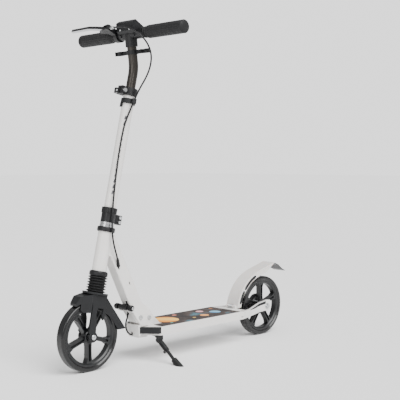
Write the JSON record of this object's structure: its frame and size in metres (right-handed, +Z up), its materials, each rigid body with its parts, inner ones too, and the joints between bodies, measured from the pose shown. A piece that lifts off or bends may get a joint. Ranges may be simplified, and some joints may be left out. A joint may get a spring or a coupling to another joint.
{
  "type": "kick scooter",
  "caption": "Folding two-wheel kick scooter with a T-bar on a telescoping stem, a sprung fork, a hand brake, a tread brake over the rear wheel and a kickstand.",
  "frame": {"origin": "on the ground, under the middle of the scooter's box", "axes": "+X forward, +Y to the rider's left, +Z up"},
  "size_m": [0.96, 0.45, 1.003],
  "materials": {
    "painted_alloy": "gloss white paint on aluminium",
    "gunmetal_alloy": "dark anodised aluminium",
    "black_alloy": "black painted alloy",
    "black_plastic": "moulded plastic",
    "white_plastic": "moulded plastic",
    "wheel_plastic": "moulded nylon",
    "steel": "zinc plated",
    "tyre": "cast polyurethane",
    "grip_rubber": "moulded rubber",
    "grip_tape": "abrasive sheet with a printed night sky",
    "cable_jacket": "cable housing"
  },
  "bodies": {
    "frame": {"deck": "painted_alloy", "grip_tape": "grip_tape", "corner_caps": "black_plastic", "fold_base": "black_alloy", "fold_plates": "painted_alloy", "fold_bolts": "steel", "rear_stays": "painted_alloy", "rear_axle": "steel", "brake_housing": "black_alloy", "foot_brake_base": "painted_alloy", "kickstand_bracket": "black_alloy", "brake_cable_rear": "cable_jacket"},
    "neck": {"down_tube": "painted_alloy", "head_tube": "painted_alloy", "headset": "black_alloy"},
    "latch": {"latch_bar": "black_plastic", "latch_bolt": "black_alloy"},
    "stem": {"steerer": "steel", "stack_spacers": "steel", "stem_clamp": "black_alloy", "clamp_bolts": "steel", "stem_tube": "painted_alloy", "guide_collar": "black_plastic", "clamp_collar": "black_alloy", "clamp_skewer": "steel", "brake_cable_lower": "cable_jacket"},
    "quick_release": {"clamp_lever": "black_plastic"},
    "fork_assembly": {"fork": "black_alloy", "fork_slider": "steel", "fork_spring": "steel", "bellows": "grip_rubber", "front_axle": "steel", "front_mudguard": "black_plastic"},
    "front_wheel": {"front_tyre": "tyre", "front_rim": "wheel_plastic", "front_bearings": "steel"},
    "rear_wheel": {"rear_tyre": "tyre", "rear_rim": "wheel_plastic", "rear_bearings": "steel", "brake_drum": "steel"},
    "drum_arm": {"brake_arm": "black_alloy"},
    "handlebar": {"upper_tube": "gunmetal_alloy", "tee_joint": "gunmetal_alloy", "bar_cover": "black_plastic", "handle_clip": "black_plastic", "lever_bracket": "black_alloy", "barrel_adjuster": "steel", "brake_cable_upper": "cable_jacket"},
    "left_handle": {"handle_tube_left": "steel", "grip_left": "grip_rubber"},
    "right_handle": {"handle_tube_right": "steel", "grip_right": "grip_rubber"},
    "left_button": {"snap_button_left": "black_plastic"},
    "right_button": {"snap_button_right": "black_plastic"},
    "hand_lever": {"brake_lever": "black_alloy"},
    "tread_brake": {"foot_brake": "white_plastic", "brake_pad": "grip_rubber"},
    "kickstand": {"kickstand_knuckle": "black_alloy", "kickstand_leg": "steel", "kickstand_foot": "grip_rubber"}
  },
  "joints": [
    {"name": "fold", "type": "hinge", "parent": "frame", "child": "neck", "pos_m": [0.2, 0, 0.133], "axis": [0, -1, 0], "range_deg": [0, 77], "deforming": ["brake_cable_rear"]},
    {"name": "latch_slide", "type": "slide", "parent": "neck", "child": "latch", "axis": [0.4364, 0, 0.8998], "range_m": [0, 0.008], "stiffness_N_per_m": 1500, "springref_m": -0.005},
    {"name": "steering", "type": "hinge", "parent": "neck", "child": "stem", "pos_m": [0.38, 0, 0.1], "axis": [-0.2258, 0, 0.9742], "range_deg": [-60, 60], "deforming": ["brake_cable_lower"]},
    {"name": "quick_release_turn", "type": "hinge", "parent": "stem", "child": "quick_release", "pos_m": [0.24845, -0.021, 0.80039], "axis": [-0.2258, 0, 0.9742], "range_deg": [0, 95]},
    {"name": "suspension", "type": "slide", "parent": "stem", "child": "fork_assembly", "axis": [-0.2258, 0, 0.9742], "range_m": [0, 0.018], "stiffness_N_per_m": 12000, "springref_m": -0.015, "deforming": ["fork_spring", "bellows"]},
    {"name": "front_wheel_spin", "type": "hinge", "parent": "fork_assembly", "child": "front_wheel", "pos_m": [0.38, 0, 0.1], "axis": [0, 1, 0], "continuous": true},
    {"name": "rear_wheel_spin", "type": "hinge", "parent": "frame", "child": "rear_wheel", "pos_m": [-0.371, 0, 0.1], "axis": [0, 1, 0], "continuous": true},
    {"name": "telescope", "type": "slide", "parent": "stem", "child": "handlebar", "axis": [-0.2258, 0, 0.9742], "range_m": [-0.04, 0.08], "deforming": ["brake_cable_upper"]},
    {"name": "left_handle_slide", "type": "slide", "parent": "handlebar", "child": "left_handle", "axis": [0, 1, 0], "range_m": [0, 0.035]},
    {"name": "right_handle_slide", "type": "slide", "parent": "handlebar", "child": "right_handle", "axis": [0, -1, 0], "range_m": [0, 0.035]},
    {"name": "left_button_press", "type": "slide", "parent": "handlebar", "child": "left_button", "axis": [-0.9272, 0, 0.3746], "range_m": [0, 0.002], "stiffness_N_per_m": 2000, "springref_m": -0.001},
    {"name": "right_button_press", "type": "slide", "parent": "handlebar", "child": "right_button", "axis": [-0.9272, 0, 0.3746], "range_m": [0, 0.002], "stiffness_N_per_m": 2000, "springref_m": -0.001},
    {"name": "hand_lever_squeeze", "type": "hinge", "parent": "handlebar", "child": "hand_lever", "pos_m": [0.25118, -0.06, 0.98027], "axis": [0.4067, 0, -0.9135], "range_deg": [0, 11], "stiffness_Nm_per_rad": 0.8, "springref_deg": -17.19},
    {"name": "drum_arm_turn", "type": "hinge", "parent": "frame", "child": "drum_arm", "pos_m": [-0.351, -0.0248, 0.082], "axis": [0, -1, 0], "range_deg": [0, 20], "stiffness_Nm_per_rad": 0.05},
    {"name": "tread_brake_press", "type": "hinge", "parent": "frame", "child": "tread_brake", "pos_m": [-0.226, 0, 0.112], "axis": [0, -1, 0], "range_deg": [0, 2.4], "stiffness_Nm_per_rad": 15, "springref_deg": -8.59},
    {"name": "kickstand_swing", "type": "hinge", "parent": "frame", "child": "kickstand", "pos_m": [0.155, 0.055, 0.0636], "axis": [0, 0.6129, 0.7902], "range_deg": [0, 90]}
  ],
  "couplings": [
    {"joint": "drum_arm_turn", "follows": "hand_lever_squeeze", "ratio": 1.8}
  ]
}
